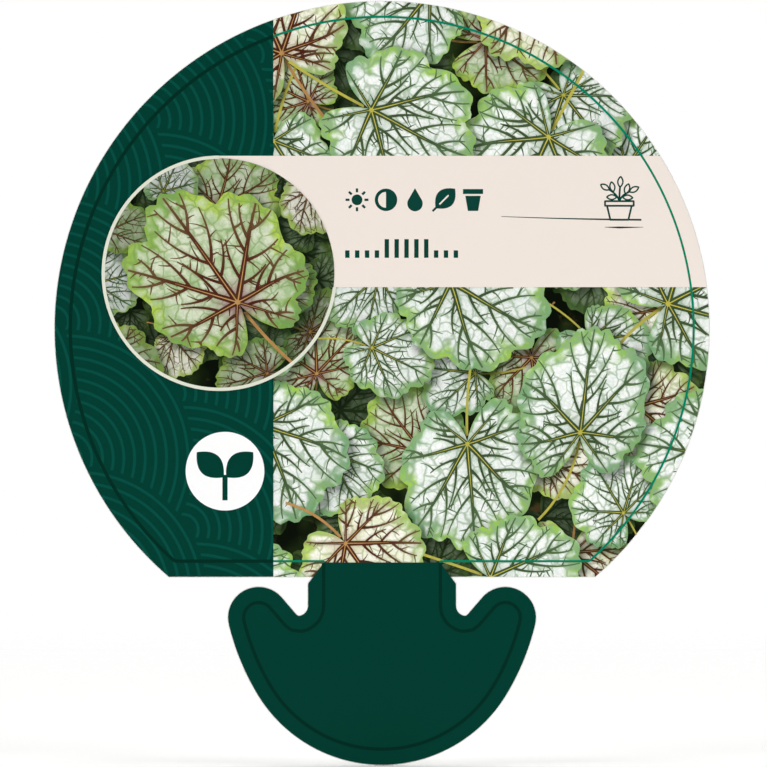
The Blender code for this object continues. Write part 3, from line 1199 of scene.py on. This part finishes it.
def potted_sprig():
    """A pot on a ground line, with three stems and their leaves, in thin lines. In millimetres."""
    thin = 0.14
    lines = [stroke(curve((-17.7, 0.5), (-8, 0.1), (3.3, 0.0), 40), np.linspace(0.04, thin, 40))]
    lines.append(stroke([(-2.2, -1.1), (0, -1.15), (3.6, -1.1)], np.array([0.03, thin, 0.03])))
    lines += [outline(block(0, 1.35, 2.1, 1.85), thin), outline(block(2.1, 2.15, 2.8, 2.15), thin)]
    lines += [stroke(curve((0, 2.8), bend, tip, 12), thin) for bend, tip in STEMS]
    return lines + [outline(leaf_shape(start, end, 0.24), 0.8 * thin) for start, end in SPRIG_LEAVES]


class LABEL_OT_roundel(bpy.types.Operator):
    """Print the round picture with its ring, and the white disc"""

    bl_idname = "label.roundel"
    bl_label = "Round picture"

    def execute(self, context):
        r = context.scene.label_roundel
        low = context.scene.label_band.low
        centre = np.array(r.centre, float)
        reach = r.radius - r.ring + OVERLAP
        ground = ground_material("roundel ground")
        add_piece("roundel_ground", disc(centre, reach), ROUNDEL_LEVEL, ground)
        add_leaves("roundel", roundel_leaves(centre), ROUNDEL_LEVEL + LEAF_STEP, (in_circle(centre, reach),))
        ring = ribbons(circle(centre, r.radius - r.ring / 2, 360)[None], r.ring / 2, closed=True)
        ring = ring.trim(lambda points: np.maximum(centre[0] - points[:, 0], low - points[:, 1]))
        pale = printed_material("ring cream", r.ring_ink, EVEN)
        add_piece("roundel_ring", ring, RING_LEVEL, pale)
        white = printed_material("disc white", screen(250, 250, 250), 0.02)
        add_piece("white_disc", disc(r.disc, r.disc_radius), ROUNDEL_LEVEL, white)
        mark = stacked([moved(film, r.disc, 0.78 * r.disc_radius) for film in sprout()])
        green = printed_material("sprout green", context.scene.label_panel.green, EVEN)
        add_piece("sprout_mark", mark, MARK_LEVEL, green)
        return {"FINISHED"}


def sprout():
    """Two leaves on a stem."""
    leaves = [filled(leaf_shape((0.04 * way, -0.2), (0.92 * way, 0.62), 0.32)) for way in (-1, 1)]
    return leaves + [stroke([(0, -0.12), (0, -0.5), (0, -0.95)], 0.085)]


class LABEL_OT_foot(bpy.types.Operator):
    """Print the neck and the foot"""

    bl_idname = "label.foot"
    bl_label = "Green neck and foot"

    def execute(self, context):
        path = inset_outline(PRINT_INSET)
        path = path[path[:, 1] < SHOULDER - NECK_SLANT]
        film = fan(FOOT_FAN, np.vstack([path, (-NECK_PRINT, FOOT_TOP), (NECK_PRINT, FOOT_TOP)]), 2)
        green = printed_material("foot green", context.scene.label_panel.green, 0.05)
        add_piece("foot_print", film, FOOT_LEVEL, green)
        return {"FINISHED"}


class LABEL_OT_keyline(bpy.types.Operator):
    """Print the thin line inside the outline"""

    bl_idname = "label.keyline"
    bl_label = "Keyline"

    def execute(self, context):
        p = context.scene.label_keyline
        on_picture = right_of(context.scene.label_panel.edge)
        path = keyline_path(p.inset)[None]
        line = ribbons(path, p.width / 2, closed=True).trim(on_picture, above(FOOT_TOP))
        add_piece("keyline", line, KEYLINE_LEVEL, printed_material("keyline green", p.green))
        dark = ribbons(path, p.dark_width / 2, closed=True)
        on_panel = dark.trim(out_of(on_picture), above(SHOULDER))
        line = join([on_panel, dark.trim(out_of(above(FOOT_TOP - OVERLAP)))])
        deep = printed_material("keyline dark", p.dark)
        add_piece("keyline_dark", line, KEYLINE_LEVEL, deep)
        return {"FINISHED"}


def keyline_path(inset):
    """The outline moved inwards, with a square corner where the neck joins the head."""
    path = inset_outline(inset)
    across, up = np.abs(path[:, 0]), path[:, 1]
    near = (across < NECK_HALF + inset) & (up > 0) & (up < SHOULDER + 2 * inset)
    path[near, 0] = np.sign(path[near, 0]) * (NECK_HALF - inset)
    path[near, 1] = SHOULDER + inset
    return resample(path, OUTLINE_STEP)


class LABEL_OT_sheet(bpy.types.Operator):
    """Give the die-cut sheet its satin white plastic"""

    bl_idname = "label.sheet"
    bl_label = "Plastic sheet"

    def execute(self, context):
        plastic = printed_material("white plastic", screen(236, 236, 231), EVEN, 0.2)
        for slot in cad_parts["label"].material_slots:
            slot.material = plastic
        return {"FINISHED"}


SIDE_LIGHT = (1.3, 1.5, 0.8)  # how far to the side, to the front or the rear, and up
SIDE_LIGHT_SIZE = 1.2
TOP_LIGHT_HEIGHT = 2.0
TOP_LIGHT_SIZE = 2.0


class LABEL_OT_stage(bpy.types.Operator):
    """Set the floor, the lights and the camera"""

    bl_idname = "label.stage"
    bl_label = "Stage"

    def execute(self, context):
        p = context.scene.label_stage
        add_floor(p)
        across, away, up = SIDE_LIGHT
        for side in (-1, 1):
            add_light("key", (side * across, -away, up), SIDE_LIGHT_SIZE, p.key_power)
            add_light("rear", (side * across, away, up), SIDE_LIGHT_SIZE, p.rear_power)
        add_light("overhead", (0, 0, TOP_LIGHT_HEIGHT), TOP_LIGHT_SIZE, p.top_power)
        set_world(context.scene, p.sky)
        camera = bpy.data.objects.new("camera", bpy.data.cameras.new("camera"))
        camera.data.sensor_width = 36
        camera.data.lens = camera.data.sensor_width * p.camera_distance / p.frame_width
        camera.data.clip_start, camera.data.clip_end = 0.1, 20
        camera.location = (p.aim[0], FACE - p.camera_distance, p.aim[1])
        camera.rotation_euler = (math.pi / 2, 0, 0)
        context.scene.collection.objects.link(camera)
        context.scene.camera = camera
        context.scene.view_settings.view_transform = "Standard"
        return {"FINISHED"}


def add_floor(p):
    """A round floor at the foot's lowest point. Away from the label it fades into the white round it."""
    ground = disc((0, 0), p.floor_radius, 4, 96)
    mesh = bpy.data.meshes.new("floor")
    points = np.column_stack([ground.points, np.full(len(ground.points), SHEET_LOW.z)])
    mesh.from_pydata(points, [], ground.faces)
    floor = bpy.data.objects.new("floor", mesh)
    material, tree, shader = new_material("floor")
    away = node(tree, "ShaderNodeVectorMath", {0: place(tree)}, operation="LENGTH").outputs["Value"]
    put(tree, shader["Base Color"], p.floor)
    put(tree, shader["Roughness"], 0.9)
    put(tree, shader["Specular IOR Level"], 0.1)
    put(tree, shader["Alpha"], ramp(tree, away, 0.3 * p.floor_radius, p.floor_radius, 1.0, 0.0))
    mesh.materials.append(material)
    bpy.context.scene.collection.objects.link(floor)


def add_light(name, location, size, power):
    """A round soft light that faces the middle of the label."""
    data = bpy.data.lights.new(name, "AREA")
    data.shape = "DISK"
    data.size, data.energy = size, power
    light = bpy.data.objects.new(name, data)
    light.location = location
    light.rotation_euler = (LABEL_MIDDLE - light.location).to_track_quat("-Z", "Y").to_euler()
    bpy.context.scene.collection.objects.link(light)


def set_world(scene, strength):
    """White where the camera looks past the floor, and dimmer for what lights the label."""
    world = bpy.data.worlds.new("world")
    world.use_nodes = True
    tree = world.node_tree
    tree.nodes.clear()
    seen = ramp(tree, node(tree, "ShaderNodeLightPath").outputs["Is Camera Ray"], 0, 1, strength, 1.0)
    sky = node(tree, "ShaderNodeBackground", {"Color": (1, 1, 1), "Strength": seen})
    node(tree, "ShaderNodeOutputWorld", {"Surface": sky.outputs[0]})
    scene.world = world


OPERATORS = (
    LABEL_OT_stage,
    LABEL_OT_sheet,
    LABEL_OT_picture,
    LABEL_OT_panel,
    LABEL_OT_band,
    LABEL_OT_roundel,
    LABEL_OT_foot,
    LABEL_OT_keyline,
)


class LABEL_PT_sidebar(bpy.types.Panel):
    """The steps that print the label, and their sizes and colours"""

    bl_idname = "LABEL_PT_sidebar"
    bl_label = "Plant label"
    bl_space_type = "VIEW_3D"
    bl_region_type = "UI"
    bl_category = "Plant label"

    def draw(self, context):
        for name, kind in GROUPS.items():
            box = self.layout.box()
            for key in kind.__annotations__:
                box.prop(getattr(context.scene, name), key)
        for operator in OPERATORS:
            self.layout.operator(operator.bl_idname)


def register():
    for kind in (*GROUPS.values(), *OPERATORS, LABEL_PT_sidebar):
        bpy.utils.register_class(kind)
    for name, kind in GROUPS.items():
        setattr(bpy.types.Scene, name, PointerProperty(type=kind))


def unregister():
    for name in GROUPS:
        delattr(bpy.types.Scene, name)
    for kind in (LABEL_PT_sidebar, *OPERATORS, *GROUPS.values()):
        bpy.utils.unregister_class(kind)


def main():
    register()
    for operator in OPERATORS:
        group, name = operator.bl_idname.split(".")
        getattr(getattr(bpy.ops, group), name)()


if __name__ == "__main__":
    main()
